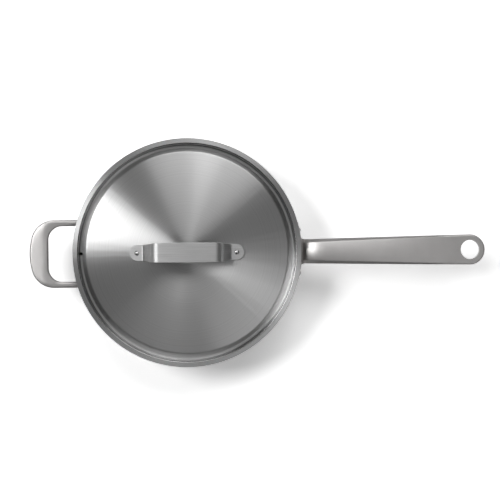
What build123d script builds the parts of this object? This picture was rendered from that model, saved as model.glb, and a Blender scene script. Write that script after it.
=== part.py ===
from build123d import *
import os
from math import asin, cos, degrees, radians, sin, sqrt, tan

# Saute pan with its lid, in millimetres. The origin is the centre of the flat base,
# +Z is up and +X runs along the long handle.

# Vessel: a straight-sided cup of three bonded plies
pan_radius = 140.0
pan_height = 70.0
base_corner = 12.0
outer_ply = 0.5
core_ply = 1.7
inner_ply = 0.5
rim_round = 0.3

# Rivets of the two pan handles: a dome outside and a low button inside the pan
rivet_shank = 2.6
rivet_head = 3.5
rivet_dome = 2.0
rivet_button = 4.5
rivet_button_height = 1.4
rivet_button_round = 0.8
rivet_clearance = 0.05

# Bracket of the long handle, a plate that hugs the wall, its middle below the rim
bracket_thickness = 3.6
bracket_width = 76.0
bracket_height = 30.0
bracket_drop = 24.0
bracket_corner = 11.0
bracket_edge_round = 1.2
handle_rivet_offset = 27.4

# Long handle: leaves the bracket low, steps up to a crest, bends at a low bow and runs
# out nearly level to its drooping tip.
# Its length is counted from the pan's wall, each height from the one before it.
neck_width = 30.2
neck_lift = 6.0
neck_depth = 17.0
neck_crown = 3.0
neck_round = 5.0
neck_flare = 2.5
crest_run = 4.7
crest_rise = 9.0
crest_angle = 30.0
crest_underside_run = 9.0
crest_depth = 18.0
crest_underside_angle = 42.0
bow_run = 36.4
bow_rise = 6.8
bow_underside_run = 56.0
bow_underside_drop = 8.2
bow_station_shares = (0, 0.06, 0.12, 0.2, 0.4, 0.7)
handle_length = 231.9
handle_under_round = 1.4
flat_lead = 4.8
flat_rise = 4.8
flat_droop_angle = 7.0
tip_width = 38.0
tip_thickness = 6.2
tip_round = 2.4
tip_hole = 11.9

# Helper handle: a cast loop on two feet, whose tops lie below the rim. Its arms rise
# to the inside of the grip, which falls outward.
loop_stand = 57.5
loop_half_width = 42.5
loop_arm = 7.8
loop_grip = 24.1
loop_bulge = 79.6
loop_outer_corner = 29.3
loop_inner_corner = 17.0
loop_root_drop = 1.0
loop_root_depth = 10.0
loop_grip_rise = 9.5
loop_grip_depth = 7.5
loop_grip_fall = 3.4
loop_knee_round = 12.0
loop_round = 2.6
foot_thickness = 2.3
foot_width = 16.0
foot_drop = 15.0
foot_length = 32.0
foot_rivet_rise = 9.0

# Lid: one pressed sheet that drops into the pan and hangs on its flange
lid_sheet = 0.9
lid_overhang = 2.9
lid_play = 0.5
lid_edge_round = 0.3
step_depth = 8.0
step_lean = 2.2
valley_width = 4.2
skirt_rise = 4.0
skirt_lean = 2.4
dome_rise = 12.0
lid_bend = 1.4
vent_radius = 1.4
vent_inset = 1.5

# Lid handle: a bent strap on two round feet, its top slightly arched
strap_sheet = 2.0
strap_top_length = 83.0
strap_leg_run = 11.5
strap_foot_run = 8.2
strap_foot_round = 10.0
strap_rise = 27.0
strap_arch_rise = 1.9
strap_arch_round = 780.0
strap_top_bend_round = 7.5
strap_foot_bend_round = 3.0
strap_bend_width = 23.8
strap_middle_width = 25.0
strap_edge_round = 0.6
lid_rivet_shift = 0.9
lid_rivet_shank = 1.9
lid_rivet_head = 2.9
lid_rivet_dome = 1.9
lid_rivet_button = 4.0
lid_rivet_button_height = 1.0
lid_rivet_button_round = 0.5

# How far a cutter runs past what it cuts
overrun = 5.0

wall = outer_ply + core_ply + inner_ply
pan_bore = pan_radius - wall
bracket_face = pan_radius + bracket_thickness
foot_face = pan_radius + foot_thickness
handle_rivet_azimuth = degrees(asin(handle_rivet_offset / bracket_face))

foot_top = pan_height - foot_drop
foot_bottom = foot_top - foot_length
foot_rivet_height = foot_bottom + foot_rivet_rise
loop_root_top = foot_top - loop_root_drop
loop_root_bottom = loop_root_top - loop_root_depth
loop_grip_top = loop_root_top + loop_grip_rise
loop_grip_bottom = loop_grip_top - loop_grip_depth
loop_reach = pan_radius + loop_stand
loop_root = sqrt(pan_radius**2 - loop_half_width**2)
arm_middle = loop_half_width - loop_arm / 2
foot_azimuth = degrees(asin(arm_middle / (foot_face + rivet_dome / 2)))

bracket_middle = pan_height - bracket_drop
neck_root = bracket_middle + neck_lift
neck_underside = neck_root - neck_depth
crest_height = neck_root + crest_rise
crest_underside = crest_height - crest_depth
bow_height = crest_height + bow_rise
flat_height = bow_height + flat_rise
handle_reach = pan_radius + handle_length
flat_length = flat_lead + tip_width
droop = radians(flat_droop_angle)
flat_start = handle_reach - flat_length * cos(droop)
flat_plane = Plane(
    origin=(flat_start, 0, flat_height),
    x_dir=(cos(droop), 0, -sin(droop)),
    z_dir=(sin(droop), 0, cos(droop)),
)
tip_hole_run = flat_length - tip_width / 2
handle_taper = (tip_width - neck_width) / (flat_start + tip_hole_run - bracket_face)

flange_radius = pan_radius + lid_overhang
flange_top = pan_height + lid_sheet
step_top = pan_bore - lid_play - lid_sheet
step_foot = step_top - step_lean
skirt_foot = step_foot - valley_width
dome_edge = skirt_foot - skirt_lean
valley_top = flange_top - step_depth
dome_edge_top = valley_top + skirt_rise
dome_top = dome_edge_top + dome_rise
dome_sphere = (dome_edge**2 + dome_rise**2) / (2 * dome_rise)

strap_top_bend = strap_top_length / 2
strap_foot_bend = strap_top_bend + strap_leg_run
strap_foot_offset = strap_foot_bend + strap_foot_run
lid_rivet_offset = strap_foot_offset + lid_rivet_shift
foot_lean = asin(lid_rivet_offset / dome_sphere)


def radial_plane(azimuth, height):
    # Stands on the pan's axis at this height and faces outward
    angle = radians(azimuth)
    return Plane(
        origin=(0, 0, height),
        x_dir=(-sin(angle), cos(angle), 0),
        z_dir=(cos(angle), sin(angle), 0),
    )


def lid_rivet_plane(side):
    # Stands on the dome under one foot of the strap and faces square off the sheet
    return Plane(
        origin=(side * lid_rivet_offset, 0, dome_top - dome_sphere * (1 - cos(foot_lean))),
        x_dir=(cos(foot_lean), 0, -side * sin(foot_lean)),
        z_dir=(side * sin(foot_lean), 0, cos(foot_lean)),
    )


handle_rivet_planes = [
    radial_plane(side * handle_rivet_azimuth, bracket_middle) for side in (-1, 1)
]
foot_planes = [
    radial_plane(180 + side * foot_azimuth, foot_rivet_height) for side in (-1, 1)
]
lid_rivet_planes = [lid_rivet_plane(side) for side in (-1, 1)]


def rivet_dome_arc(radius, seat, rise):
    # Half profile of a domed head that stands on its seat, from its rim to its top
    sphere = (radius**2 + rise**2) / (2 * rise)
    turn = degrees(asin(radius / sphere))
    return CenterArc((0, seat + rise - sphere), sphere, 90 - turn, turn)


def make_ply(inset, thickness, free_edge=None):
    # One ply of the cup, whose outside lies inset from the outside of the pan
    with BuildPart() as ply:
        with BuildSketch(Plane.XZ):
            with BuildLine():
                corner = (pan_radius - base_corner, base_corner)
                outside = CenterArc(corner, base_corner - inset, -90, 90)
                inside = CenterArc(corner, base_corner - inset - thickness, -90, 90)
                Polyline(outside @ 0, (0, inset), (0, inset + thickness), inside @ 0)
                Polyline(
                    outside @ 1,
                    (pan_radius - inset, pan_height),
                    (pan_radius - inset - thickness, pan_height),
                    inside @ 1,
                )
            make_face()
        revolve(axis=Axis.Z)
        if free_edge is not None:
            rim = ply.edges().filter_by(GeomType.CIRCLE).group_by(Axis.Z)[-1]
            fillet(rim.sort_by(SortBy.RADIUS)[free_edge], radius=rim_round)
        with BuildSketch(*handle_rivet_planes, *foot_planes):
            Circle(rivet_shank + rivet_clearance)
        extrude(amount=pan_radius + overrun, mode=Mode.SUBTRACT)
    return ply


def make_pan_rivets(planes, height, seat):
    # Rivets along the pan's radii, each head cut to the curved wall that it lies on
    with BuildPart() as heads:
        with BuildSketch(Plane.XZ):
            with BuildLine():
                rivet_dome_arc(rivet_head, seat, rivet_dome)
                Polyline(
                    (0, seat + rivet_dome),
                    (0, pan_radius),
                    (rivet_head, pan_radius),
                    (rivet_head, seat),
                )
            make_face()
        revolve(axis=Axis.Z)
        with BuildSketch(Plane.XY.offset(pan_bore - rivet_button_height)):
            Circle(rivet_button)
        extrude(amount=wall + rivet_button_height)
        fillet(heads.edges().sort_by(Axis.Z)[0], radius=rivet_button_round)
    with BuildPart() as shank:
        with BuildSketch(Plane.XY.offset(pan_bore - rivet_button_height / 2)):
            Circle(rivet_shank)
        extrude(amount=seat - pan_bore + (rivet_button_height + rivet_dome) / 2)
    with BuildPart() as rivets:
        with Locations(*[plane.location for plane in planes]):
            add(heads.part)
        with BuildSketch(Plane.XY.offset(height - rivet_button - overrun)):
            Circle(seat)
            Circle(pan_bore, mode=Mode.SUBTRACT)
        extrude(amount=2 * (rivet_button + overrun), mode=Mode.SUBTRACT)
        with Locations(*[plane.location for plane in planes]):
            add(shank.part)
    return rivets


def make_tip():
    # Flat end of the handle, a drooping plate with a round end
    with BuildPart() as tip:
        with BuildSketch(flat_plane):
            with Locations((tip_hole_run, 0)):
                Circle(tip_width / 2)
            Rectangle(tip_round, handle_width(flat_start), align=(Align.MIN, Align.CENTER))
            make_hull()
        extrude(amount=-tip_thickness)
        faces = tip.faces().sort_by(Axis.Z)
        upper_rim = faces[-1].edges().filter_by(Axis.Y, reverse=True)
        lower_rim = faces[0].edges().filter_by(Axis.Y, reverse=True)
        fillet(upper_rim, radius=tip_round)
        fillet(lower_rim, radius=handle_under_round)
    return tip


def make_bracket():
    # Plate that hugs the wall, with a rounded outline and a softened outer edge
    with BuildPart() as bracket:
        with BuildSketch(Plane.YZ):
            with Locations((0, bracket_middle)):
                RectangleRounded(bracket_width, bracket_height, bracket_corner)
        extrude(amount=bracket_face + overrun)
        with BuildSketch(Plane.XY):
            Circle(bracket_face)
        extrude(amount=pan_height, mode=Mode.INTERSECT)
        face = bracket.faces().sort_by(Axis.X)[-1]
        fillet(face.edges(), radius=bracket_edge_round)
    return bracket


def handle_width(run):
    # The handle widens evenly from the bracket to its tip
    return neck_width + handle_taper * (run - bracket_face)


def slope_way(angle):
    # Unit direction of a slope in the handle's side view
    return (cos(radians(angle)), sin(radians(angle)))


def bar_section(top, under, share, flare=0):
    # Cross-section of the handle between a top point and an underside point of its
    # side view: crowned on top and rounded at its corners, flatter towards the tip
    half = handle_width(top.X) / 2 + flare
    crown = neck_crown * (1 - share)
    upper = neck_round + (tip_round - neck_round) * share
    lower = handle_under_round
    crown_radius = (half**2 + crown**2) / (2 * crown)
    lean = asin((half - upper) / (crown_radius - upper))
    turn = degrees(lean)
    upper_height = (crown_radius - upper) * cos(lean) - crown_radius
    rise = top - under
    depth = rise.length
    plane = Plane(origin=(top.X, 0, top.Y), x_dir=(0, 1, 0), z_dir=(rise.Y, 0, -rise.X))
    with BuildSketch(plane) as section:
        with BuildLine():
            right = CenterArc((half - upper, upper_height), upper, 0, 90 - turn)
            CenterArc((0, -crown_radius), crown_radius, 90 - turn, 2 * turn)
            left = CenterArc((upper - half, upper_height), upper, 90 + turn, 90 - turn)
            low_left = CenterArc((lower - half, lower - depth), lower, 180, 90)
            low_right = CenterArc((half - lower, lower - depth), lower, -90, 90)
            Line(left @ 1, low_left @ 0)
            Line(low_left @ 1, low_right @ 0)
            Line(low_right @ 1, right @ 0)
        make_face()
    return section.sketch.face()


def make_long_handle():
    flat_top = Vector(flat_start, flat_height)
    flat_under = flat_top - Vector(sin(droop), cos(droop)) * tip_thickness
    with BuildLine() as side_view:
        top_line = Spline(
            (bracket_face + crest_run, crest_height),
            (bracket_face + bow_run, bow_height),
            flat_top,
            tangents=(slope_way(crest_angle), slope_way(-flat_droop_angle)),
        )
        under_line = Spline(
            (bracket_face + crest_underside_run, crest_underside),
            (bracket_face + bow_underside_run, bow_height - bow_underside_drop),
            flat_under,
            tangents=(slope_way(crest_underside_angle), slope_way(-flat_droop_angle)),
        )
    tip = make_tip()
    bow_sections = [bar_section(top_line @ u, under_line @ u, u) for u in bow_station_shares]
    with BuildPart() as long_handle:
        loft([*bow_sections, tip.faces().sort_by(Axis.X)[0]])
        root_top = Vector(bracket_face, neck_root)
        root_under = Vector(bracket_face, neck_underside)
        inward = Vector(wall + bracket_thickness, 0)
        flare_share = neck_flare / crest_run
        blend_top = root_top + (top_line @ 0 - root_top) * flare_share
        blend_under = root_under + (under_line @ 0 - root_under) * flare_share
        neck_sections = [
            bar_section(root_top - inward, root_under - inward, 0, flare=neck_flare),
            bar_section(root_top, root_under, 0, flare=neck_flare),
            bar_section(blend_top, blend_under, 0),
            bar_section(top_line @ 0, under_line @ 0, 0),
        ]
        loft(neck_sections, ruled=True)
        add(make_bracket().part)
        add(tip.part)
        with BuildSketch(Plane.XY):
            Circle(pan_radius)
        extrude(amount=pan_height, mode=Mode.SUBTRACT)
        with BuildSketch(*handle_rivet_planes):
            Circle(rivet_shank + rivet_clearance)
        extrude(amount=bracket_face + overrun, mode=Mode.SUBTRACT)
        with BuildSketch(flat_plane):
            with Locations((tip_hole_run, 0)):
                Circle(tip_hole)
        extrude(amount=overrun + tip_thickness, both=True, mode=Mode.SUBTRACT)
    return long_handle


def make_feet():
    # The loop's two feet, upright slots with their rivets low on them
    with BuildPart() as feet:
        with BuildSketch(*foot_planes):
            with Locations((0, (foot_top + foot_bottom) / 2 - foot_rivet_height)):
                SlotOverall(foot_top - foot_bottom, foot_width, rotation=90)
        extrude(amount=foot_face + overrun)
        with BuildSketch(Plane.XY):
            Circle(foot_face)
        extrude(amount=pan_height, mode=Mode.INTERSECT)
    return feet


def make_helper_handle():
    with BuildPart() as helper_handle:
        with BuildSketch(Plane.XZ.offset(-loop_half_width - overrun)):
            with BuildLine():
                knee = loop_grip - loop_reach
                top_line = FilletPolyline(
                    (-loop_root, loop_root_top),
                    (knee, loop_grip_top),
                    (-loop_reach, loop_grip_top - loop_grip_fall),
                    radius=loop_knee_round,
                )
                under_line = FilletPolyline(
                    (-loop_root, loop_root_bottom),
                    (knee, loop_grip_bottom),
                    (-loop_reach, loop_grip_bottom - loop_grip_fall),
                    radius=loop_knee_round,
                )
                Line(top_line @ 0, under_line @ 0)
                Line(top_line @ 1, under_line @ 1)
            make_face()
        extrude(amount=2 * (loop_half_width + overrun))
        with BuildSketch(Plane.XY):
            with BuildLine():
                corner_y = loop_half_width - loop_outer_corner
                bulge_x = loop_bulge - loop_reach
                centre_gap = loop_bulge - loop_outer_corner
                corner_x = bulge_x - sqrt(centre_gap**2 - corner_y**2)
                turn = degrees(asin(corner_y / centre_gap))
                CenterArc((bulge_x, 0), loop_bulge, 180 - turn, 2 * turn)
                upper = CenterArc((corner_x, corner_y), loop_outer_corner, 90, 90 - turn)
                lower = CenterArc((corner_x, -corner_y), loop_outer_corner, -90, turn - 90)
                Polyline(
                    upper @ 0,
                    (-loop_root, loop_half_width),
                    (-loop_root, -loop_half_width),
                    lower @ 0,
                )
            make_face()
        extrude(amount=2 * loop_grip_top, mode=Mode.INTERSECT)
        with BuildSketch(Plane.XY) as window:
            with Locations((loop_grip - loop_reach, 0)):
                Rectangle(
                    loop_reach - loop_grip,
                    2 * (loop_half_width - loop_arm),
                    align=(Align.MIN, Align.CENTER),
                )
            fillet(window.vertices().group_by(Axis.X)[0], radius=loop_inner_corner)
        extrude(amount=2 * loop_grip_top, mode=Mode.SUBTRACT)
        free = helper_handle.edges().filter_by_position(
            Axis.X, -loop_reach - overrun, -loop_root, inclusive=(True, False)
        )
        fillet(free.filter_by(Axis.Z, reverse=True), radius=loop_round)
        add(make_feet().part)
        with BuildSketch(Plane.XY):
            Circle(pan_radius)
        extrude(amount=pan_height, mode=Mode.SUBTRACT)
        with BuildSketch(*foot_planes):
            Circle(rivet_shank + rivet_clearance)
        extrude(amount=foot_face + overrun, mode=Mode.SUBTRACT)
    return helper_handle


def make_lid_shell():
    # The sheet is drawn along its middle line, from the axis out to the flange
    half = lid_sheet / 2
    with BuildLine() as sheet:
        dome_turn = degrees(asin(dome_edge / dome_sphere))
        dome = CenterArc((0, dome_top - dome_sphere), dome_sphere - half, 90, -dome_turn)
        Polyline(
            dome @ 1,
            (skirt_foot, valley_top - half),
            (step_foot, valley_top - half),
            (step_top, flange_top - half),
            (flange_radius, flange_top - half),
        )
        fillet(sheet.vertices(), radius=lid_bend)
    with BuildPart() as lid_shell:
        with BuildSketch(Plane.XZ):
            trace(sheet.line, lid_sheet)
        revolve(axis=Axis.Z)
        rings = lid_shell.edges().filter_by(GeomType.CIRCLE).filter_by(Edge.is_closed.fget)
        fillet(rings.sort_by(SortBy.RADIUS)[-2:], radius=lid_edge_round)
        with Locations((vent_inset - step_foot, 0, flange_top)):
            Hole(vent_radius, depth=step_depth + lid_sheet + overrun)
        with BuildSketch(*lid_rivet_planes):
            Circle(lid_rivet_shank + rivet_clearance)
        extrude(amount=overrun, both=True, mode=Mode.SUBTRACT)
    return lid_shell


def make_lid_handle():
    with BuildPart() as lid_handle:
        with BuildSketch(Plane.XZ.offset(-strap_middle_width)):
            with BuildLine():
                seat = lid_rivet_planes[0].origin.Z
                arch = seat + strap_rise - strap_sheet
                foot_bend = seat + (lid_rivet_offset - strap_foot_bend) * tan(foot_lean)
                foot_end = strap_foot_offset + strap_foot_round + overrun
                foot_end_seat = seat - (foot_end - lid_rivet_offset) * tan(foot_lean)
                FilletPolyline(
                    (-foot_end, foot_end_seat),
                    (-strap_foot_bend, foot_bend),
                    (-strap_top_bend, arch),
                    (0, arch + strap_arch_rise),
                    (strap_top_bend, arch),
                    (strap_foot_bend, foot_bend),
                    (foot_end, foot_end_seat),
                    radius=(
                        strap_foot_bend_round,
                        strap_top_bend_round,
                        strap_arch_round,
                        strap_top_bend_round,
                        strap_foot_bend_round,
                    ),
                )
                offset(amount=strap_sheet, side=Side.LEFT)
            make_face()
        extrude(amount=2 * strap_middle_width)
        with BuildSketch(Plane.XY):
            with BuildLine():
                for side in (-1, 1):
                    bend_y = side * strap_bend_width / 2
                    foot_y = side * strap_foot_round
                    ThreePointArc(
                        (-strap_top_bend, bend_y),
                        (0, side * strap_middle_width / 2),
                        (strap_top_bend, bend_y),
                    )
                    for end in (-1, 1):
                        Polyline(
                            (end * strap_top_bend, bend_y),
                            (end * strap_foot_bend, foot_y),
                            (end * strap_foot_offset, foot_y),
                        )
                CenterArc((strap_foot_offset, 0), strap_foot_round, -90, 180)
                CenterArc((-strap_foot_offset, 0), strap_foot_round, 90, 180)
            make_face()
        extrude(amount=dome_top + 2 * strap_rise, mode=Mode.INTERSECT)
        fillet(lid_handle.edges().filter_by(Axis.Y, reverse=True), radius=strap_edge_round)
        with BuildSketch(*lid_rivet_planes):
            Circle(lid_rivet_shank + rivet_clearance)
        extrude(amount=strap_sheet + overrun, mode=Mode.SUBTRACT)
    return lid_handle


def make_lid_rivets():
    # Rivets square to the dome: a domed head on the strap, a button under the sheet
    with BuildPart() as rivet:
        with BuildSketch(Plane.XZ):
            with BuildLine():
                button_top = -lid_sheet - rivet_clearance
                button_end = button_top - lid_rivet_button_height
                rivet_dome_arc(lid_rivet_head, strap_sheet, lid_rivet_dome)
                Polyline(
                    (0, strap_sheet + lid_rivet_dome),
                    (0, button_end),
                    (lid_rivet_button, button_end),
                    (lid_rivet_button, button_top),
                    (lid_rivet_shank, button_top),
                    (lid_rivet_shank, strap_sheet),
                    (lid_rivet_head, strap_sheet),
                )
            make_face()
        revolve(axis=Axis.Z)
        fillet(rivet.edges().sort_by(Axis.Z)[0], radius=lid_rivet_button_round)
    with BuildPart() as rivets:
        with Locations(*[plane.location for plane in lid_rivet_planes]):
            add(rivet.part)
    return rivets


def keep(piece, name):
    # Labels a finished piece and writes it under its own name
    piece.part.label = name
    export_step(piece.part, f"parts/{name}.step")


os.makedirs("parts", exist_ok=True)
keep(make_ply(0, outer_ply, free_edge=-1), "pan_outer_ply")
keep(make_ply(outer_ply, core_ply), "pan_core")
keep(make_ply(outer_ply + core_ply, inner_ply, free_edge=0), "pan_inner_ply")
keep(make_long_handle(), "long_handle")
keep(make_pan_rivets(handle_rivet_planes, bracket_middle, bracket_face), "long_handle_rivets")
keep(make_helper_handle(), "helper_handle")
keep(make_pan_rivets(foot_planes, foot_rivet_height, foot_face), "helper_handle_rivets")
keep(make_lid_shell(), "lid_shell")
keep(make_lid_handle(), "lid_handle")
keep(make_lid_rivets(), "lid_handle_rivets")
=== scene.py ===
from math import asin, cos, pi, radians, sin, sqrt, tan, tau

import bmesh
import bpy
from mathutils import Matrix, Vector


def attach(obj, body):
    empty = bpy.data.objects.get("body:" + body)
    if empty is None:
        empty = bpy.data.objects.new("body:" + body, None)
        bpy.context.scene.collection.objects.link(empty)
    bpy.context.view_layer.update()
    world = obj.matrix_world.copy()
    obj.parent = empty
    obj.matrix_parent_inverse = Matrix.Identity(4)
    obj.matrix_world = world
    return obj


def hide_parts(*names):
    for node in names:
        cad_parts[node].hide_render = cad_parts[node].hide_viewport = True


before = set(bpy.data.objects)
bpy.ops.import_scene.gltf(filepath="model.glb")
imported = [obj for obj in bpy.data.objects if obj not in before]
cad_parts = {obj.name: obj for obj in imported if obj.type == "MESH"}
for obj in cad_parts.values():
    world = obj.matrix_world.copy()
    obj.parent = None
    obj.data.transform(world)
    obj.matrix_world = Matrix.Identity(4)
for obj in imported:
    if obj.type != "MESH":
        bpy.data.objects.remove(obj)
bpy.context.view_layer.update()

print("frame loaded:", ", ".join(sorted(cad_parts)))

mergeGap = 0.000002  # points closer than this become one, in metres
sameLevel = 0.00001  # and these count as level with each other
flatCrown = 0.02  # a crown too low to see, in millimetres, for a flat top


# All other lengths below are in millimetres, and this turns them to metres
def metres(*values):
    return Vector(value / 1000 for value in values)


def clearSelection():
    bpy.ops.object.select_all(action="DESELECT")


def pick(piece):
    clearSelection()
    piece.select_set(True)
    bpy.context.view_layer.objects.active = piece


def editMode(piece):
    pick(piece)
    bpy.ops.object.mode_set(mode="EDIT")


def objectMode():
    bpy.ops.object.mode_set(mode="OBJECT")


def applyModifier(piece, kind, **settings):
    pick(piece)
    modifier = piece.modifiers.new(kind.lower(), kind)
    for name, value in settings.items():
        setattr(modifier, name, value)
    bpy.ops.object.modifier_apply(modifier=modifier.name)


def cutWith(piece, cutter, operation="DIFFERENCE"):
    applyModifier(piece, "BOOLEAN", operation=operation, object=cutter, solver="EXACT")
    bpy.data.objects.remove(cutter)


def selectWhere(piece, parts, test):
    # In edit mode, selects those vertices, edges or faces that pass a test
    shell = bmesh.from_edit_mesh(piece.data)
    for part in getattr(shell, parts):
        part.select_set(test(part))
    bmesh.update_edit_mesh(piece.data)


def closeUp(piece):
    # Merges seams and poles and turns the faces outwards
    editMode(piece)
    bpy.ops.mesh.select_all(action="SELECT")
    bpy.ops.mesh.remove_doubles(threshold=mergeGap)
    bpy.ops.mesh.normals_make_consistent(inside=False)
    objectMode()


def smooth(piece, angle=32):
    pick(piece)
    bpy.ops.object.shade_smooth_by_angle(angle=radians(angle))
    applyModifier(piece, "WEIGHTED_NORMAL", keep_sharp=True, weight=60)


def spinLine(name, points, steps=192):
    # Draws a half section beside the pan's axis point by point, then spins it round
    clearSelection()
    bpy.ops.mesh.primitive_plane_add(size=0.01)
    piece = bpy.context.object
    piece.name = name
    bpy.ops.object.mode_set(mode="EDIT")
    bpy.ops.mesh.select_mode(type="VERT")
    bpy.ops.mesh.merge(type="CENTER")
    line = [metres(out, 0, up) for out, up in points]
    bpy.ops.transform.translate(value=line[0])
    for here, there in zip(line, line[1:]):
        bpy.ops.mesh.extrude_vertices_move(TRANSFORM_OT_translate={"value": there - here})
    bpy.ops.mesh.select_all(action="SELECT")
    bpy.ops.mesh.spin(steps=steps, angle=tau, center=(0, 0, 0), axis=(0, 0, 1))
    objectMode()
    closeUp(piece)
    return piece


def extrudeRings(piece, rings):
    # Extrudes the selected end face from ring to ring; each vertex knows its place on a ring
    for ring in rings:
        bpy.ops.mesh.extrude_region_move()
        shell = bmesh.from_edit_mesh(piece.data)
        place = shell.verts.layers.int["place"]
        for vertex in shell.verts:
            if vertex.select:
                vertex.co = ring[vertex[place]]
        bmesh.update_edit_mesh(piece.data)
    objectMode()
    piece.data.attributes.remove(piece.data.attributes["place"])
    closeUp(piece)


def sweepRings(name, rings):
    # A ring is laid on the first section and extruded through all the others
    clearSelection()
    bpy.ops.mesh.primitive_circle_add(vertices=len(rings[0]), radius=0.01, fill_type="NGON")
    piece = bpy.context.object
    piece.name = name
    bpy.ops.object.mode_set(mode="EDIT")
    shell = bmesh.from_edit_mesh(piece.data)
    place = shell.verts.layers.int.new("place")
    for index, vertex in enumerate(shell.verts):
        vertex.co = rings[0][index]
        vertex[place] = index
    bmesh.update_edit_mesh(piece.data)
    extrudeRings(piece, rings[1:])
    return piece


def arc(centre, radius, start, turn, steps):
    # Points of an arc, angles in degrees
    angles = [radians(start + turn * step / steps) for step in range(steps + 1)]
    return [(centre[0] + radius * cos(a), centre[1] + radius * sin(a)) for a in angles]


def leant(point, angle):
    # A point turned about the Y axis, so that what stands upright leans towards +X
    x, y, z = point
    return Vector((x * cos(angle) + z * sin(angle), y, z * cos(angle) - x * sin(angle)))


def roundedLine(points, rounds, steps):
    # A line through the points whose inner corners are arcs, each of its own radius
    # or all of the same one
    if not isinstance(rounds, tuple):
        rounds = (rounds,) * (len(points) - 2)
    line = [points[0]]
    for before, corner, after, radius in zip(points, points[1:], points[2:], rounds):
        corner = Vector(corner)
        back = (Vector(before) - corner).normalized()
        ahead = (Vector(after) - corner).normalized()
        half = back.angle(ahead) / 2
        centre = corner + (back + ahead).normalized() * radius / sin(half)
        first = corner + back * radius / tan(half) - centre
        last = corner + ahead * radius / tan(half) - centre
        swing = first.angle(last)
        for step in range(steps + 1):
            share = step / steps
            spoke = first * sin((1 - share) * swing) + last * sin(share * swing)
            line.append(tuple(centre + spoke / sin(swing)))
    line.append(points[-1])
    return line


def blended(points, others, share):
    # A line of points moved by a share of the way to another line's
    return [
        (x + (otherX - x) * share, z + (otherZ - z) * share)
        for (x, z), (otherX, otherZ) in zip(points, others)
    ]


# Steps of a bar's section: at its upper corners, along its top and at its lower corners
barSteps = {
    "upper": 6,
    "top": 14,
    "lower": 4,
    "facet": (0, 0.2, 0.45, 0.7, 0.88, 0.96, 1),  # as many points as an upper corner has
}


def barRing(half, depth, crown, upper, lower, facet=None, share=0.0):
    # Section of a bar, across and down from the middle of its top: crowned above,
    # rounded at all four corners, or with a share of a slanted facet along its upper edges
    crownRadius = (half**2 + crown**2) / (2 * crown)
    lean = asin((half - upper) / (crownRadius - upper))
    turn = lean * 180 / pi
    rise = (crownRadius - upper) * cos(lean) - crownRadius
    right = arc((half - upper, rise), upper, 0, 90 - turn, barSteps["upper"])
    top = arc((0, -crownRadius), crownRadius, 90 - turn, 2 * turn, barSteps["top"])
    left = arc((upper - half, rise), upper, 90 + turn, 90 - turn, barSteps["upper"])
    lowLeft = arc((lower - half, lower - depth), lower, 180, 90, barSteps["lower"])
    lowRight = arc((half - lower, lower - depth), lower, 270, 90, barSteps["lower"])
    if facet is not None:
        wide, drop = facet
        edge = half - wide
        level = sqrt(crownRadius**2 - edge**2) - crownRadius
        turn = asin(edge / crownRadius) * 180 / pi
        flatTop = arc((0, -crownRadius), crownRadius, 90 - turn, 2 * turn, barSteps["top"])
        slanted = [(half - wide * s, level - drop * (1 - s)) for s in barSteps["facet"]]
        top = blended(top, flatTop, share)
        right = blended(right, slanted, share)
        left = [(-x, z) for x, z in reversed(right)]
    return right + top[1:-1] + left + lowLeft + lowRight


# Camera: straight above, a long way off, turned by a fraction of a degree
cameraSetup = {
    "place": (78.5, 2.4, 3221.0),
    "turn": -0.65,
    "lens": 182.0,
}
cameraData = bpy.data.cameras.new("camera")
cameraData.lens = cameraSetup["lens"]
cameraData.clip_end = 100
camera = bpy.data.objects.new("camera", cameraData)
camera.location = metres(*cameraSetup["place"])
camera.rotation_euler = (0, 0, radians(cameraSetup["turn"]))
bpy.context.scene.collection.objects.link(camera)
bpy.context.scene.camera = camera

# Light: a main lamp from the left and two from the back, which make the lid's rays, and
# weak ones from the front and above that lift the level surfaces
lampSetups = {
    "mainLamp": {"azimuth": 160.5, "height": 51, "spread": 23, "strength": 1.2},
    "sideLamp": {"azimuth": 66, "height": 50, "spread": 30, "strength": 0.46},
    "backLamp": {"azimuth": 94, "height": 50, "spread": 30, "strength": 0.45},
    "lowLamp": {"azimuth": -48, "height": 57, "spread": 32, "strength": 0.18},
    "topLamp": {"azimuth": 0, "height": 88, "spread": 60, "strength": 0.2},
}
for name, setup in lampSetups.items():
    lampData = bpy.data.lights.new(name, "SUN")
    lampData.energy = setup["strength"]
    lampData.angle = radians(setup["spread"])
    lamp = bpy.data.objects.new(name, lampData)
    azimuth, height = radians(setup["azimuth"]), radians(setup["height"])
    toLamp = Vector((cos(height) * cos(azimuth), cos(height) * sin(azimuth), sin(height)))
    lamp.rotation_euler = toLamp.to_track_quat("Z", "Y").to_euler()
    bpy.context.scene.collection.objects.link(lamp)

bpy.context.scene.view_settings.view_transform = "Standard"
print("camera and lamps set")


def colour(code):
    # An sRGB hex colour as the linear values that the shaders take
    parts = [int(code[at : at + 2], 16) / 255 for at in (0, 2, 4)]
    linear = [p / 12.92 if p <= 0.04045 else ((p + 0.055) / 1.055) ** 2.4 for p in parts]
    return (*linear, 1)


def addNode(tree, kind, settings=None, sockets=None):
    # One node with its settings; a socket takes a value or another node's output
    node = tree.nodes.new(kind)
    for name, value in (settings or {}).items():
        setattr(node, name, value)
    for name, value in (sockets or {}).items():
        if isinstance(value, bpy.types.NodeSocket):
            tree.links.new(value, node.inputs[name])
        else:
            node.inputs[name].default_value = value
    return node


def newMaterial(name):
    material = bpy.data.materials.new(name)
    material.use_nodes = True
    material.node_tree.nodes.clear()
    return material, material.node_tree


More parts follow.
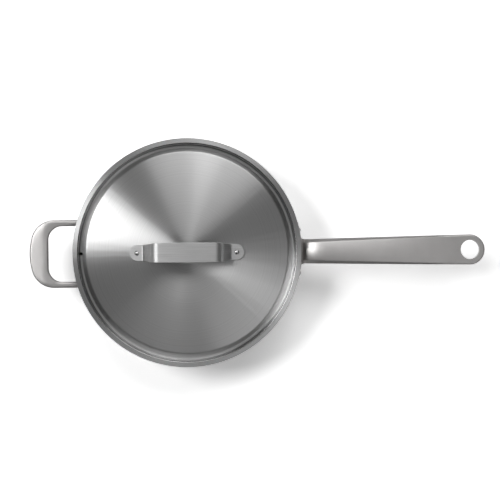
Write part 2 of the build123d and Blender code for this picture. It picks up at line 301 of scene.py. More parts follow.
# Turned finish: how the rays vary round the axis, by how much their brushing sways, and
# how much duller the middle is, which the abrasive crosses slowly
spunFinish = {
    "rayScale": 26.0,
    "raySway": 0.08,
    "ringGloss": 0.1,
    "dullMiddle": 0.16,
    "dullFrom": 10.0,
    "dullTo": 70.0,
    "reliefDepth": 0.03,
}


def spunSteel(name, light, dark, roughness, ringWidth):
    # Stainless steel brushed while it turned: fine rings that throw light into rays
    material, tree = newMaterial(name)
    place = addNode(tree, "ShaderNodeTexCoord").outputs["Object"]
    flat = addNode(
        tree,
        "ShaderNodeVectorMath",
        {"operation": "MULTIPLY"},
        {0: place, 1: (1, 1, 0)},
    )
    out = addNode(
        tree,
        "ShaderNodeVectorMath",
        {"operation": "NORMALIZE"},
        {0: flat.outputs[0]},
    )
    radius = addNode(
        tree,
        "ShaderNodeVectorMath",
        {"operation": "LENGTH"},
        {0: flat.outputs[0]},
    )
    up = addNode(tree, "ShaderNodeSeparateXYZ", None, {0: place})
    along = addNode(
        tree,
        "ShaderNodeMath",
        {"operation": "ADD"},
        {0: radius.outputs["Value"], 1: up.outputs["Z"]},
    )
    rings = addNode(
        tree,
        "ShaderNodeTexNoise",
        {"noise_dimensions": "1D"},
        {"W": along.outputs[0], "Scale": 1000 / ringWidth, "Detail": 2.0, "Roughness": 0.7},
    )
    rays = addNode(
        tree,
        "ShaderNodeTexNoise",
        None,
        {
            "Vector": out.outputs[0],
            "Scale": spunFinish["rayScale"],
            "Detail": 4.0,
            "Roughness": 0.75,
        },
    )
    normal = addNode(tree, "ShaderNodeNewGeometry").outputs["Normal"]
    around = addNode(
        tree,
        "ShaderNodeVectorMath",
        {"operation": "CROSS_PRODUCT"},
        {0: (0, 0, 1), 1: out.outputs[0]},
    )
    across = addNode(
        tree,
        "ShaderNodeVectorMath",
        {"operation": "CROSS_PRODUCT"},
        {0: normal, 1: around.outputs[0]},
    )
    sway = addNode(
        tree,
        "ShaderNodeMapRange",
        None,
        {
            "Value": rays.outputs["Fac"],
            "From Min": 0.3,
            "From Max": 0.7,
            "To Min": -spunFinish["raySway"],
            "To Max": spunFinish["raySway"],
        },
    )
    tilt = addNode(
        tree,
        "ShaderNodeVectorMath",
        {"operation": "MULTIPLY_ADD"},
        {0: around.outputs[0], 1: sway.outputs[0], 2: across.outputs[0]},
    )
    tone = addNode(
        tree,
        "ShaderNodeMix",
        {"data_type": "RGBA"},
        {"Factor": rings.outputs["Fac"], "A": colour(dark), "B": colour(light)},
    )
    worn = addNode(
        tree,
        "ShaderNodeMapRange",
        None,
        {
            "Value": radius.outputs["Value"],
            "From Min": spunFinish["dullFrom"] / 1000,
            "From Max": spunFinish["dullTo"] / 1000,
            "To Min": roughness + spunFinish["dullMiddle"],
            "To Max": roughness,
        },
    )
    gloss = addNode(
        tree,
        "ShaderNodeMath",
        {"operation": "MULTIPLY_ADD"},
        {0: rings.outputs["Fac"], 1: spunFinish["ringGloss"], 2: worn.outputs[0]},
    )
    relief = addNode(
        tree,
        "ShaderNodeBump",
        None,
        {
            "Strength": 0.25,
            "Distance": spunFinish["reliefDepth"] / 1000,
            "Height": rings.outputs["Fac"],
        },
    )
    shader = addNode(
        tree,
        "ShaderNodeBsdfPrincipled",
        None,
        {
            "Base Color": tone.outputs["Result"],
            "Metallic": 1.0,
            "Roughness": gloss.outputs[0],
            "Anisotropic": 0.95,
            "Tangent": tilt.outputs[0],
            "Normal": relief.outputs[0],
        },
    )
    addNode(tree, "ShaderNodeOutputMaterial", None, {"Surface": shader.outputs[0]})
    return material


# Satin finish: large faint clouds of tone, and how far the grain changes gloss and height
satinFinish = {"cloudScale": 60.0, "glossSpread": 0.05, "reliefDepth": 0.03}


def satinSteel(name, light, dark, roughness, grain):
    # Metal with an even satin and a fine grain that runs in no direction
    material, tree = newMaterial(name)
    place = addNode(tree, "ShaderNodeTexCoord").outputs["Object"]
    grains = addNode(
        tree,
        "ShaderNodeTexNoise",
        None,
        {"Vector": place, "Scale": 1000 / grain, "Detail": 3.0, "Roughness": 0.6},
    )
    clouds = addNode(
        tree,
        "ShaderNodeTexNoise",
        None,
        {"Vector": place, "Scale": satinFinish["cloudScale"], "Detail": 2.0},
    )
    tone = addNode(
        tree,
        "ShaderNodeMix",
        {"data_type": "RGBA"},
        {"Factor": clouds.outputs["Fac"], "A": colour(dark), "B": colour(light)},
    )
    gloss = addNode(
        tree,
        "ShaderNodeMapRange",
        None,
        {
            "Value": grains.outputs["Fac"],
            "From Min": 0.25,
            "From Max": 0.75,
            "To Min": roughness - satinFinish["glossSpread"],
            "To Max": roughness + satinFinish["glossSpread"],
        },
    )
    relief = addNode(
        tree,
        "ShaderNodeBump",
        None,
        {
            "Strength": 0.3,
            "Distance": satinFinish["reliefDepth"] / 1000,
            "Height": grains.outputs["Fac"],
        },
    )
    shader = addNode(
        tree,
        "ShaderNodeBsdfPrincipled",
        None,
        {
            "Base Color": tone.outputs["Result"],
            "Metallic": 1.0,
            "Roughness": gloss.outputs[0],
            "Normal": relief.outputs[0],
        },
    )
    addNode(tree, "ShaderNodeOutputMaterial", None, {"Surface": shader.outputs[0]})
    return material


# Strip finish: its lines hardly change along X and Z, and differ in gloss and height
stripFinish = {"lengthScale": 20, "glossSpread": 0.06, "reliefDepth": 0.04}


def stripSteel(name, light, dark, roughness, lineWidth):
    # Strip steel brushed lengthwise: long thin lines from end to end
    material, tree = newMaterial(name)
    place = addNode(tree, "ShaderNodeTexCoord").outputs["Object"]
    length = stripFinish["lengthScale"]
    drawn = addNode(
        tree,
        "ShaderNodeMapping",
        None,
        {"Vector": place, "Scale": (length, 1000 / lineWidth, length)},
    )
    lines = addNode(
        tree,
        "ShaderNodeTexNoise",
        None,
        {"Vector": drawn.outputs[0], "Scale": 1.0, "Detail": 3.0, "Roughness": 0.7},
    )
    tone = addNode(
        tree,
        "ShaderNodeMix",
        {"data_type": "RGBA"},
        {"Factor": lines.outputs["Fac"], "A": colour(dark), "B": colour(light)},
    )
    gloss = addNode(
        tree,
        "ShaderNodeMapRange",
        None,
        {
            "Value": lines.outputs["Fac"],
            "From Min": 0.25,
            "From Max": 0.75,
            "To Min": roughness - stripFinish["glossSpread"],
            "To Max": roughness + stripFinish["glossSpread"],
        },
    )
    relief = addNode(
        tree,
        "ShaderNodeBump",
        None,
        {
            "Strength": 0.4,
            "Distance": stripFinish["reliefDepth"] / 1000,
            "Height": lines.outputs["Fac"],
        },
    )
    across = addNode(tree, "ShaderNodeCombineXYZ", None, {"Y": 1.0})
    shader = addNode(
        tree,
        "ShaderNodeBsdfPrincipled",
        None,
        {
            "Base Color": tone.outputs["Result"],
            "Metallic": 1.0,
            "Roughness": gloss.outputs[0],
            "Anisotropic": 0.2,
            "Tangent": across.outputs[0],
            "Normal": relief.outputs[0],
        },
    )
    addNode(tree, "ShaderNodeOutputMaterial", None, {"Surface": shader.outputs[0]})
    return material


# Lid: stainless sheet, pressed, then turned against an abrasive. Its rings spread each
# lamp into a ray from the middle. The real scratches lie about 0.1 mm apart and are drawn
# at 1.4 mm, because a pixel of the picture covers 1.2 mm
lidSteel = spunSteel("lidSpunSteel", "C6C6C6", "B3B3B3", 0.26, 1.4)
# Step of the lid: the same sheet, drawn over the die and left unbrushed, so it is smoother.
# Its colour is darker than the rest as painted shade of the groove, so it reads as a thin
# dark line. Its grain is drawn coarser than the real one of about 0.2 mm
stepShadedSteel = satinSteel("lidStepSteelPaintedShade", "A2A2A2", "929292", 0.22, 1.2)
# Pan: bonded sheet, drawn to a cup and brushed as it turned, with rings on the base and
# level lines on the wall. Drawn as coarse as the lid's, for the same reason
wallSteel = spunSteel("panBrushedSteel", "CBCBCB", "B6B6B6", 0.32, 1.4)
# Core: rolled aluminium, cut bare at the rim and seen there as a dull, pale line
coreAluminium = satinSteel("coreRolledAluminium", "D0D1D2", "C0C1C3", 0.45, 1.2)
# Handles: stainless steel, cast, blasted with beads and buffed. That gives a warm grey
# satin with broad, soft lights and no direction. The real grain of about 0.2 mm is drawn
# at 1.2 mm
handleSteel = satinSteel("handleCastSteel", "C8C6C5", "BBB9B8", 0.42, 1.2)
# Rivets: drawn stainless wire with pressed heads, smooth, so each head has a small
# sharp light beside a dark side
rivetSteel = satinSteel("rivetDrawnSteel", "D2D2D2", "C2C2C2", 0.2, 1.0)
# Strap: stainless strip, ground along its length before it was bent. Fine lines run from
# end to end, and the bends show a bright bar. The real lines lie about 0.1 mm apart and
# are drawn at 0.9 mm
strapSteel = stripSteel("strapStripSteel", "D6D6D6", "ACACAC", 0.43, 0.9)
print("materials mixed")


def finishPiece(piece, body, slotName, material, *nodes):
    piece.data.materials.clear()
    piece.data.materials.append(material)
    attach(piece, body)
    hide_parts(*nodes)


# Pan: three bonded plies, drawn as one cup inside the next
panCup = {
    "radius": 140.0,
    "height": 70.0,
    "corner": 12.0,
    "outerPly": 0.5,
    "corePly": 1.7,
    "innerPly": 0.5,
    "rimRound": 0.3,
}


def plyLine(inset, thickness, roundOutside=False, roundInside=False):
    # Half section of one ply from the axis out, up, over its free edge and back
    cup = panCup
    centre = (cup["radius"] - cup["corner"], cup["corner"])
    outside = cup["radius"] - inset
    inside = outside - thickness
    soft = cup["rimRound"]
    line = [(0, inset)] + [(centre[0] * share / 4, inset) for share in (1, 2, 3)]
    line += arc(centre, cup["corner"] - inset, -90, 90, 12)
    if roundOutside:
        line += arc((outside - soft, cup["height"] - soft), soft, 0, 90, 4)
    else:
        line.append((outside, cup["height"]))
    if roundInside:
        line += arc((inside + soft, cup["height"] - soft), soft, 90, 90, 4)
    else:
        line.append((inside, cup["height"]))
    line += arc(centre, cup["corner"] - inset - thickness, 0, -90, 12)
    line += [(centre[0] * share / 4, inset + thickness) for share in (3, 2, 1)]
    line.append((0, inset + thickness))
    return line


outerPly = spinLine("outerPly", plyLine(0, panCup["outerPly"], roundOutside=True))
corePly = spinLine("corePly", plyLine(panCup["outerPly"], panCup["corePly"]))
innerInset = panCup["outerPly"] + panCup["corePly"]
innerPly = spinLine("innerPly", plyLine(innerInset, panCup["innerPly"], roundInside=True))
for ply in (outerPly, corePly, innerPly):
    smooth(ply)
finishPiece(outerPly, "pan", "outer_ply_steel", wallSteel, "pan_outer_ply")
finishPiece(corePly, "pan", "core_aluminium", coreAluminium, "pan_core")
finishPiece(innerPly, "pan", "inner_ply_steel", wallSteel, "pan_inner_ply")
print("pan spun")

# Lid: one sheet with a flange, a step down into the pan, a channel and a dome
lid = {
    "sheet": 0.9,
    "flangeRadius": 142.86,
    "flangeTop": 70.9,
    "flangeLean": 0.2,
    "stepTop": 136.2,
    "stepFoot": 134.2,
    "channelTop": 62.9,
    "skirtFoot": 130.9,
    "domeEdge": 126.0,
    "domeEdgeTop": 67.1,
    "domeTop": 78.9,
    "bend": 1.4,
    "skirtRound": 4.5,
    "edgeRound": 0.3,
    "ventRadius": 1.9,
    "ventPlace": -132.2,
    # Radii of the step's faces, which get the darker colour painted as shade
    "paintedShadeFrom": 133.8,
    "paintedShadeTo": 137.4,
}
half = lid["sheet"] / 2
domeRise = lid["domeTop"] - lid["domeEdgeTop"]
domeSphere = (lid["domeEdge"] ** 2 + domeRise**2) / (2 * domeRise)
domeTurn = asin(lid["domeEdge"] / domeSphere) * 180 / pi
domeLine = arc((0, lid["domeTop"] - domeSphere), domeSphere - half, 90, -domeTurn, 30)
lidLine = domeLine[:-2] + roundedLine(
    [
        domeLine[-2],
        domeLine[-1],
        (lid["skirtFoot"], lid["channelTop"] - half),
        (lid["stepFoot"], lid["channelTop"] - half),
        (lid["stepTop"], lid["flangeTop"] - half + lid["flangeLean"]),
        (lid["flangeRadius"], lid["flangeTop"] - half - lid["flangeLean"]),
    ],
    (lid["skirtRound"], lid["bend"], lid["bend"], lid["bend"]),
    6,
)
lidShell = spinLine("lidShell", lidLine, steps=256)
applyModifier(
    lidShell, "SOLIDIFY", thickness=lid["sheet"] / 1000, offset=0, use_even_offset=True
)


def onFlangeEdge(edge):
    # True for the two round edges at the flange's outer end
    first, second = (vertex.co for vertex in edge.verts)
    short = lid["flangeRadius"] / 1000 - min(first.xy.length, second.xy.length)
    return short < 2 * sameLevel and abs(first.z - second.z) < sameLevel


editMode(lidShell)
bpy.ops.mesh.select_all(action="DESELECT")
bpy.ops.mesh.select_mode(type="EDGE")
selectWhere(lidShell, "edges", onFlangeEdge)
bpy.ops.mesh.bevel(offset=lid["edgeRound"] / 1000, segments=4, affect="EDGES")
objectMode()
clearSelection()
bpy.ops.mesh.primitive_cylinder_add(
    vertices=32,
    radius=lid["ventRadius"] / 1000,
    depth=0.01,
    location=metres(lid["ventPlace"], 0, lid["channelTop"]),
)
cutWith(lidShell, bpy.context.object)
smooth(lidShell)
finishPiece(lidShell, "lid", "lid_steel", lidSteel, "lid_shell")
# The step gets the smoother steel, whose darker colour is painted shade of the groove
lidShell.data.materials.append(stepShadedSteel)
for face in lidShell.data.polygons:
    out = face.center.xy.length * 1000
    if lid["paintedShadeFrom"] < out < lid["paintedShadeTo"]:
        face.material_index = 1
print("lid pressed:", len(lidShell.data.polygons), "faces")

# Long handle: a flat tip with a hanging hole, a bow that falls to a crest, and a steep
# neck that flares into the bracket
longHandle = {
    "reach": 371.88,
    "tipWidth": 38.0,
    "tipThickness": 6.2,
    "tipRound": 2.4,
    "underRound": 1.4,
    "droop": 7.0,
    "flatLength": 42.8,
    "flatHeight": 72.6,
    "holeRadius": 11.9,
    "bow": (180.0, 67.8),
    "bowUnder": (199.6, 59.6),
    "crest": (148.3, 61.0),
    "crestAngle": 33.0,
    "crestUnder": (152.6, 43.0),
    "crestUnderAngle": 42.0,
    "root": (143.6, 52.0),
    "rootUnder": (143.6, 35.0),
    "neckWidth": 30.2,
    "neckCrown": 2.4,
    "neckRound": 5.0,
    "rootDepth": 2.4,
    "facetWidth": 4.2,
    "facetDrop": 2.9,
    "facetTaper": 0.6,
    "facetFade": 12,
    "stations": 30,
    # How far up each section of the neck is, from the root to the crest, and its flare
    "flares": ((0.8, 0.0), (0.55, 0.1), (0.38, 0.4), (0.22, 0.95), (0.08, 1.8), (0.0, 3.0)),
}
droop = radians(longHandle["droop"])
flatStart = longHandle["reach"] - longHandle["flatLength"] * cos(droop)
holeRun = longHandle["flatLength"] - longHandle["tipWidth"] / 2
taper = (longHandle["tipWidth"] - longHandle["neckWidth"]) / (
    flatStart + holeRun - longHandle["root"][0]
)


def handleHalf(run):
    return (longHandle["neckWidth"] + taper * (run - longHandle["root"][0])) / 2


def throughThree(points, startWay, endWay, share):
    # A smooth line through three points with its end directions given
    a, b, c = (Vector(point) for point in points)
    first, second = (b - a).length, (c - b).length
    pull = 3 * (second * (b - a) / first + first * (c - b) / second)
    middle = (pull - second * startWay - first * endWay) / (2 * (first + second))
    run = share * (first + second)
    if run <= first:
        start, end, startPull, endPull, span = a, b, startWay, middle, first
        t = run / first
    else:
        start, end, startPull, endPull, span = b, c, middle, endWay, second
        t = (run - first) / second
    return (
        start * (2 * t**3 - 3 * t**2 + 1)
        + startPull * span * (t**3 - 2 * t**2 + t)
        + end * (3 * t**2 - 2 * t**3)
        + endPull * span * (t**3 - t**2)
    )


def wayOf(angle):
    return Vector((cos(radians(angle)), sin(radians(angle))))


def handleRing(top, under, share, flare=0.0, onWall=False):
    # One section between a top point and an underside point of the side view, flat or
    # bent to follow the pan's wall
    h = longHandle
    crown = max(h["neckCrown"] * (1 - share), flatCrown)
    upper = h["neckRound"] + (h["tipRound"] - h["neckRound"]) * share
    depth = (top - under).length
    down = (under - top) / depth
    halfWidth = handleHalf(top.x)
    shrink = 1 - h["facetTaper"] * share
    section = barRing(
        halfWidth + flare,
        depth + 2 * flare,
        crown,
        upper,
        h["underRound"],
        facet=(h["facetWidth"] * shrink, h["facetDrop"] * shrink),
        share=min(1.0, (1 - share) * h["facetFade"]),
    )
    ring = []
    for across, fall in section:
        point = top - down * flare - down * fall
        x = point.x
        if onWall:
            x = sqrt(h["root"][0] ** 2 - across**2) + point.x - h["root"][0]
        ring.append(metres(x, across, point.y))
    return ring


flatTop = Vector((flatStart, longHandle["flatHeight"]))
flatUnder = flatTop - Vector((sin(droop), cos(droop))) * longHandle["tipThickness"]
bow = Vector(longHandle["bow"])
bowUnder = Vector(longHandle["bowUnder"])
handleRings = []
for station in range(longHandle["stations"] + 1):
    share = 1 - station / longHandle["stations"]
    top = throughThree(
        [longHandle["crest"], bow, flatTop],
        wayOf(longHandle["crestAngle"]),
        wayOf(-longHandle["droop"]),
        share,
    )
    under = throughThree(
        [longHandle["crestUnder"], bowUnder, flatUnder],
        wayOf(longHandle["crestUnderAngle"]),
        wayOf(-longHandle["droop"]),
        share,
    )
    handleRings.append(handleRing(top, under, share))
root, rootUnder = Vector(longHandle["root"]), Vector(longHandle["rootUnder"])
crest, crestUnder = Vector(longHandle["crest"]), Vector(longHandle["crestUnder"])
for run, flare in longHandle["flares"]:
    top = root.lerp(crest, run)
    under = rootUnder.lerp(crestUnder, run)
    handleRings.append(handleRing(top, under, 0, flare, onWall=True))
inward = Vector((longHandle["rootDepth"], 0))
handleRings.append(handleRing(root - inward, rootUnder - inward, 0, flare, onWall=True))

# The tip is drawn flat: a round end and two corners, made thick, its edges softened
clearSelection()
bpy.ops.mesh.primitive_circle_add(
    vertices=128, radius=longHandle["tipWidth"] / 2000, location=metres(holeRun, 0, 0)
)
longBody = bpy.context.object
longBody.name = "longHandle"
bpy.ops.object.transform_apply(location=True, rotation=False, scale=False)
startHalf = handleHalf(flatStart)
bpy.ops.object.mode_set(mode="EDIT")
arcStart = (holeRun - 0.4) / 1000  # keeps the outer half of the circle, ends included
selectWhere(longBody, "verts", lambda vertex: vertex.co.x < arcStart)
bpy.ops.mesh.delete(type="VERT")
selectWhere(longBody, "verts", lambda vertex: len(vertex.link_edges) == 1)
bpy.ops.mesh.extrude_vertices_move()
shell = bmesh.from_edit_mesh(longBody.data)
for vertex in shell.verts:
    if vertex.select:
        vertex.co = metres(0, startHalf if vertex.co.y > 0 else -startHalf, 0)
bmesh.update_edit_mesh(longBody.data)
bpy.ops.mesh.edge_face_add()
bpy.ops.mesh.select_all(action="SELECT")
bpy.ops.mesh.edge_face_add()
bpy.ops.mesh.extrude_region_move(
    TRANSFORM_OT_translate={"value": metres(0, 0, -longHandle["tipThickness"])}
)
bpy.ops.mesh.select_all(action="SELECT")
bpy.ops.mesh.normals_make_consistent(inside=False)
bpy.ops.mesh.select_mode(type="EDGE")


def onStart(edge):
    return all(vertex.co.x < sameLevel for vertex in edge.verts)


def onLevel(edge, level):
    return all(abs(vertex.co.z - level / 1000) < sameLevel for vertex in edge.verts)


for level, softness, cuts in (
    (0, longHandle["tipRound"], barSteps["upper"]),
    (-longHandle["tipThickness"], longHandle["underRound"], barSteps["lower"]),
):
    selectWhere(longBody, "edges", lambda edge: onLevel(edge, level) and not onStart(edge))
    bpy.ops.mesh.bevel(offset=softness / 1000, segments=cuts, affect="EDGES")
# The top edge of its start face gets the points of the bow's crown
selectWhere(longBody, "edges", lambda edge: onLevel(edge, 0) and onStart(edge))
bpy.ops.mesh.subdivide(number_cuts=barSteps["top"] - 1)
# Then it is tilted into place, and its start face is extruded down to the bracket
turnAt = metres(flatStart, 0, longHandle["flatHeight"])
bpy.ops.mesh.select_all(action="SELECT")
bpy.ops.transform.translate(value=turnAt)
shell = bmesh.from_edit_mesh(longBody.data)
for vertex in shell.verts:
    vertex.co = turnAt + leant(vertex.co - turnAt, droop)
bmesh.update_edit_mesh(longBody.data)
bpy.ops.mesh.select_mode(type="FACE")
shell = bmesh.from_edit_mesh(longBody.data)
shell.normal_update()
facing = Vector((-cos(droop), 0, sin(droop)))
for face in shell.faces:
    face.select_set(face.normal.dot(facing) > 0.999)
place = shell.verts.layers.int.new("place")
for vertex in shell.verts:
    gaps = [(vertex.co - point).length for point in handleRings[0]]
    vertex[place] = gaps.index(min(gaps))
bmesh.update_edit_mesh(longBody.data)
extrudeRings(longBody, handleRings[1:])


def wallPlate(name, shape, azimuth):
    # A flat plate with rounded corners, cut into strips and wrapped on the pan's wall;
    # its seat is the radius that its outer face comes to
    width, thickness = shape["width"], shape["thickness"]
    clearSelection()
    bpy.ops.mesh.primitive_plane_add(size=1, rotation=(0, pi / 2, 0))
    plate = bpy.context.object
    plate.name = name
    bpy.ops.object.transform_apply(location=False, rotation=True, scale=False)
    plate.scale = metres(1000, width, shape["height"])
    bpy.ops.object.transform_apply(location=False, rotation=False, scale=True)
    bpy.ops.object.mode_set(mode="EDIT")
    bpy.ops.mesh.bevel(offset=shape["corner"] / 1000, segments=10, affect="VERTICES")
    bpy.ops.mesh.select_all(action="SELECT")
    bpy.ops.mesh.extrude_region_move(TRANSFORM_OT_translate={"value": metres(-thickness, 0, 0)})
    bpy.ops.mesh.select_all(action="SELECT")
    bpy.ops.mesh.normals_make_consistent(inside=False)
    bpy.ops.mesh.select_mode(type="EDGE")
    selectWhere(plate, "edges", lambda edge: all(abs(v.co.x) < sameLevel for v in edge.verts))
    bpy.ops.mesh.bevel(offset=shape["edgeRound"] / 1000, segments=4, affect="EDGES")
    strips = max(8, round(width / 3))  # each about 3 mm wide
    for strip in range(1, strips):
        at = width * (strip / strips - 0.5)
        bpy.ops.mesh.select_all(action="SELECT")
        bpy.ops.mesh.bisect(plane_co=metres(0, at, 0), plane_no=(0, 1, 0))
    shell = bmesh.from_edit_mesh(plate.data)
    for vertex in shell.verts:
        swing = asin(vertex.co.y * 1000 / shape["seat"]) + radians(azimuth)
        out = shape["seat"] / 1000 + vertex.co.x
        up = vertex.co.z + shape["middle"] / 1000
        vertex.co = (out * cos(swing), out * sin(swing), up)
    bmesh.update_edit_mesh(plate.data)
    objectMode()
    closeUp(plate)
    return plate


bracket = {
    "width": 76.0,
    "height": 30.0,
    "corner": 11.0,
    "thickness": 3.6,
    "middle": 46.0,
    "edgeRound": 1.2,
    "seat": 143.6,
}
cutWith(longBody, wallPlate("bracketPlate", bracket, 0), "UNION")
clearSelection()
bpy.ops.mesh.primitive_cylinder_add(
    vertices=96,
    radius=longHandle["holeRadius"] / 1000,
    depth=0.03,
    location=metres(
        flatStart + holeRun * cos(droop), 0, longHandle["flatHeight"] - holeRun * sin(droop)
    ),
    rotation=(0, droop, 0),
)
cutWith(longBody, bpy.context.object)
smooth(longBody)
finishPiece(longBody, "pan", "cast_handle_steel", handleSteel, "long_handle")
print("long handle drawn:", len(longBody.data.polygons), "faces")

# Helper handle: a loop with a broad crowned grip, on two feet below the rim
loop = {
    "reach": 197.5,
    "half": 42.5,
    "arm": 7.8,
    "grip": 24.1,
    "bulge": 79.6,
    "outerCorner": 29.3,
    "innerCorner": 17.0,
    "root": 133.4,
    "rootTop": 54.0,
    "rootBottom": 44.0,
    "gripTop": 63.5,
    "gripBottom": 56.0,
    "gripFall": 3.0,
    "kneeRound": 45.0,
    "gripRound": 2.6,
    "armRound": 1.2,
    "gripCrown": 0.2,
    "armCrown": 1.7,
}
foot = {
    "width": 16.0,
    "height": 32.0,
    "corner": 7.95,
    "thickness": 2.3,
    "middle": 39.0,
    "edgeRound": 0.4,
    "seat": 142.3,
}


def loopLines():
    # Outer and inner outline of one half of the loop, station by station
    cornerY = loop["half"] - loop["outerCorner"]
    bulgeX = loop["bulge"] - loop["reach"]
    gap = loop["bulge"] - loop["outerCorner"]
    cornerX = bulgeX - sqrt(gap**2 - cornerY**2)
    turn = asin(cornerY / gap) * 180 / pi
    innerX = loop["grip"] - loop["reach"]
    innerHalf = loop["half"] - loop["arm"]
    innerCorner = (innerX + loop["innerCorner"], innerHalf - loop["innerCorner"])
    armSteps, cornerSteps, gripSteps = 8, 18, 8
    outer, inner = [], []
    for step in range(armSteps):
        share = step / armSteps
        outer.append((-loop["root"] + (cornerX + loop["root"]) * share, loop["half"]))
        inner.append((-loop["root"] + (innerCorner[0] + loop["root"]) * share, innerHalf))
    outer += arc((cornerX, cornerY), loop["outerCorner"], 90, 90 - turn, cornerSteps)
    inner += arc(innerCorner, loop["innerCorner"], 90, 90, cornerSteps)
    outer += arc((bulgeX, 0), loop["bulge"], 180 - turn, turn, gripSteps)[1:]
    for step in range(1, gripSteps + 1):
        inner.append((innerX, innerCorner[1] * (1 - step / gripSteps)))
    return outer, inner


def levelAt(line, x):
    # Height of a side view's line at x; the line runs towards -X
    for (startX, startZ), (endX, endZ) in zip(line, line[1:]):
        if endX <= x:
            return startZ + (endZ - startZ) * min(1, (startX - x) / (startX - endX))
    return line[-1][1]


knee = loop["grip"] - loop["reach"]
topLine = roundedLine(
    [
        (-loop["root"], loop["rootTop"]),
        (knee, loop["gripTop"]),
        (-loop["reach"], loop["gripTop"] - loop["gripFall"]),
    ],
    loop["kneeRound"],
    12,
)
outer, inner = loopLines()
outer += [(x, -y) for x, y in reversed(outer[:-1])]
inner += [(x, -y) for x, y in reversed(inner[:-1])]
loopRings = []
for (outX, outY), (inX, inY) in zip(outer, inner):
    width = sqrt((outX - inX) ** 2 + (outY - inY) ** 2)
    middle = Vector(((outX + inX) / 2, (outY + inY) / 2))
    across = Vector((outX - inX, outY - inY)).normalized()
    climb = min(1, (-middle.x - loop["root"]) / (loop["reach"] - loop["grip"] - loop["root"]))
    depth = loop["rootTop"] - loop["rootBottom"]
    depth += (loop["gripTop"] - loop["gripBottom"] - depth) * climb
    gripShare = (width - loop["arm"]) / (loop["grip"] - loop["arm"])
    crown = loop["armCrown"] + (loop["gripCrown"] - loop["armCrown"]) * gripShare
    soft = loop["armRound"] + (loop["gripRound"] - loop["armRound"]) * gripShare
    ring = []
    for side, fall in barRing(width / 2, depth, crown, soft, soft):
        spot = middle + across * side
        ring.append(metres(spot.x, spot.y, levelAt(topLine, spot.x) + fall))
    loopRings.append(ring)
for ring in (loopRings[0], loopRings[-1]):
    for point in ring:
        point.x = -sqrt((panCup["radius"] / 1000) ** 2 - point.y**2)
helperLoop = sweepRings("helperHandle", loopRings)
# Each foot is centred on its arm, at 1 mm out from the foot's face
armMiddle = loop["half"] - loop["arm"] / 2
footAzimuth = asin(armMiddle / (foot["seat"] + 1.0)) * 180 / pi
for side in (-1, 1):
    cutWith(helperLoop, wallPlate("foot", foot, 180 + side * footAzimuth), "UNION")
smooth(helperLoop)
finishPiece(helperLoop, "pan", "cast_handle_steel", handleSteel, "helper_handle")
print("helper handle drawn:", len(helperLoop.data.polygons), "faces")

# Strap: a bent strip with round feet that lie on the dome
strap = {
    "sheet": 2.0,
    "topBend": 41.5,
    "footBend": 53.0,
    "footOffset": 61.2,
    "footRound": 10.0,
    "bendWidth": 23.8,
    "middleWidth": 25.0,
    "topBendRound": 13.0,
    "footBendRound": 5.5,
    "rise": 26.0,
    "archRise": 2.9,
    "archRound": 450.0,
    "edgeRound": 0.6,
    "rivetOffset": 62.1,
    "endHalf": 0.6,  # half the width of the narrow end face of each foot
    "longStretch": 3.0,  # stretches longer than this get more points
    "stretchSteps": 14,
}
footLean = asin(strap["rivetOffset"] / domeSphere)
seat = lid["domeTop"] - domeSphere * (1 - cos(footLean))


def strapHalf(run):
    # Half the strap's width at a distance from its middle
    run = abs(run)
    if run <= strap["topBend"]:
        bulge = (strap["middleWidth"] - strap["bendWidth"]) / 2
        return strap["middleWidth"] / 2 - bulge * (run / strap["topBend"]) ** 2
    if run <= strap["footBend"]:
        share = (run - strap["topBend"]) / (strap["footBend"] - strap["topBend"])
        return strap["bendWidth"] / 2 + (strap["footRound"] - strap["bendWidth"] / 2) * share
    if run <= strap["footOffset"]:
        return strap["footRound"]
    over = min(run - strap["footOffset"], strap["footRound"] * 0.998)
    return sqrt(strap["footRound"] ** 2 - over**2)


def footLevel(run):
    return seat - (run - strap["rivetOffset"]) * tan(footLean)


archUnder = seat + strap["rise"] - strap["sheet"]
footEnd = strap["footOffset"] + strap["footRound"]
bends = roundedLine(
    [
        (-footEnd, footLevel(footEnd)),
        (-strap["footBend"], footLevel(strap["footBend"])),
        (-strap["topBend"], archUnder),
        (0, archUnder + strap["archRise"]),
        (strap["topBend"], archUnder),
        (strap["footBend"], footLevel(strap["footBend"])),
        (footEnd, footLevel(footEnd)),
    ],
    (
        strap["footBendRound"],
        strap["topBendRound"],
        strap["archRound"],
        strap["topBendRound"],
        strap["footBendRound"],
    ),
    12,
)
# More points along the straight stretches, closer together round the feet's ends
strapLine = []
for (startX, startZ), (endX, endZ) in zip(bends, bends[1:]):
    gap = sqrt((endX - startX) ** 2 + (endZ - startZ) ** 2)
    steps = 1 if gap < strap["longStretch"] else strap["stretchSteps"]
    for step in range(steps):
        share = step / steps
        if startX == -footEnd:
            share = 1 - cos(share * pi / 2)
        if endX == footEnd:
            share = sin(share * pi / 2)
        spot = (startX + (endX - startX) * share, startZ + (endZ - startZ) * share)
        strapLine.append(Vector(spot))
strapLine.append(Vector(bends[-1]))
strapRings = []
for index, spot in enumerate(strapLine):
    before = strapLine[max(index - 1, 0)]
    after = strapLine[min(index + 1, len(strapLine) - 1)]
    along = (after - before).normalized()
    lift = Vector((-along.y, along.x))
    halfWidth = max(strapHalf(spot.x), strap["endHalf"])
    soft = min(strap["edgeRound"], halfWidth * 0.6)
    ring = []
    for side, fall in barRing(halfWidth, strap["sheet"], flatCrown, soft, soft):
        point = spot + lift * (strap["sheet"] + fall)
        ring.append(metres(point.x, side, point.y))
    strapRings.append(ring)
strapPiece = sweepRings("lidStrap", strapRings)
smooth(strapPiece, 40)
finishPiece(strapPiece, "lid", "strap_steel", strapSteel, "lid_handle")
print("strap bent:", len(strapPiece.data.polygons), "faces")

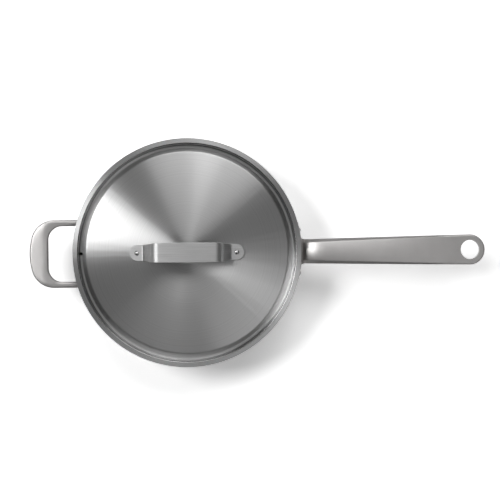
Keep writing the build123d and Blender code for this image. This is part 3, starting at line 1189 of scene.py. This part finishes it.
# Strap rivets: one is spun, copied and leant the other way, and both are one piece
strapRivet = {
    "head": 3.0,
    "dome": 1.35,
    "shank": 1.9,
    "button": 4.0,
    "buttonHeight": 1.0,
    "buttonRound": 0.5,
    "clearance": 0.05,
}
headSphere = (strapRivet["head"] ** 2 + strapRivet["dome"] ** 2) / (2 * strapRivet["dome"])
headTurn = asin(strapRivet["head"] / headSphere) * 180 / pi
buttonTop = -lid["sheet"] - strapRivet["clearance"]
buttonEnd = buttonTop - strapRivet["buttonHeight"]
headTop = strap["sheet"] + strapRivet["dome"]
rivetLine = arc((0, headTop - headSphere), headSphere, 90, -headTurn, 10)
rivetLine += [
    (strapRivet["shank"], strap["sheet"]),
    (strapRivet["shank"], buttonTop),
    (strapRivet["button"], buttonTop),
]
rivetLine += arc(
    (strapRivet["button"] - strapRivet["buttonRound"], buttonEnd + strapRivet["buttonRound"]),
    strapRivet["buttonRound"],
    0,
    -90,
    4,
)
rivetLine.append((0, buttonEnd))
strapRivets = spinLine("strapRivets", rivetLine, steps=64)
twinRivet = strapRivets.copy()
twinRivet.data = strapRivets.data.copy()
bpy.context.scene.collection.objects.link(twinRivet)
for rivet, side in ((strapRivets, 1), (twinRivet, -1)):
    place = metres(side * strap["rivetOffset"], 0, seat)
    for vertex in rivet.data.vertices:
        vertex.co = place + leant(vertex.co, side * footLean)
pick(strapRivets)
twinRivet.select_set(True)
bpy.ops.object.join()
closeUp(strapRivets)
smooth(strapRivets)
finishPiece(strapRivets, "lid", "rivet_steel", rivetSteel, "lid_handle_rivets")
print("strap rivets set:", len(strapRivets.data.polygons), "faces")

# The rivets of both handles are right as they come, and only get their metal
for nodeName in ("long_handle_rivets", "helper_handle_rivets"):
    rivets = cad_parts[nodeName]
    rivets.data.materials.clear()
    rivets.data.materials.append(rivetSteel)

# Floor: a matt white studio sheet, an even paint with no pattern, and it keeps the
# soft shadow
floorSetup = {
    "size": 60000.0,
    "colour": "EAEAEA",
    "coat": "F4F4F4",
    "seenGlow": 0.11,
    "mirroredGlow": 0.4,
}
clearSelection()
bpy.ops.mesh.primitive_plane_add(size=floorSetup["size"] / 1000)
floor = bpy.context.object
floor.name = "floor"
material, tree = newMaterial("whiteFloor")
path = addNode(tree, "ShaderNodeLightPath")
mirrored = addNode(
    tree,
    "ShaderNodeMath",
    {"operation": "MAXIMUM"},
    {0: path.outputs["Is Glossy Ray"], 1: path.outputs["Is Transmission Ray"]},
)
seenGlow = addNode(
    tree,
    "ShaderNodeMath",
    {"operation": "MULTIPLY"},
    {0: path.outputs["Is Camera Ray"], 1: floorSetup["seenGlow"]},
)
shown = addNode(
    tree,
    "ShaderNodeMath",
    {"operation": "MULTIPLY_ADD"},
    {0: mirrored.outputs[0], 1: floorSetup["mirroredGlow"], 2: seenGlow.outputs[0]},
)
paint = addNode(tree, "ShaderNodeBsdfDiffuse", None, {"Color": colour(floorSetup["colour"])})
glow = addNode(tree, "ShaderNodeEmission", None, {"Strength": shown.outputs[0]})
both = addNode(tree, "ShaderNodeAddShader", None, {0: paint.outputs[0], 1: glow.outputs[0]})
# Camera rays get a second coat, so that the lit floor is white and its shadow stays
coat = addNode(tree, "ShaderNodeBsdfDiffuse", None, {"Color": colour(floorSetup["coat"])})
whiter = addNode(tree, "ShaderNodeAddShader", None, {0: both.outputs[0], 1: coat.outputs[0]})
floorMix = addNode(
    tree,
    "ShaderNodeMixShader",
    None,
    {0: path.outputs["Is Camera Ray"], 1: both.outputs[0], 2: whiter.outputs[0]},
)
addNode(tree, "ShaderNodeOutputMaterial", None, {"Surface": floorMix.outputs[0]})
floor.data.materials.append(material)

# World: a plain, nearly dark grey room
room = {"colour": "FFFFFF", "strength": 0.06}
world = bpy.data.worlds.new("greyRoom")
world.use_nodes = True
background = world.node_tree.nodes["Background"]
background.inputs["Color"].default_value = colour(room["colour"])
background.inputs["Strength"].default_value = room["strength"]
bpy.context.scene.world = world
print("floor laid and room set")
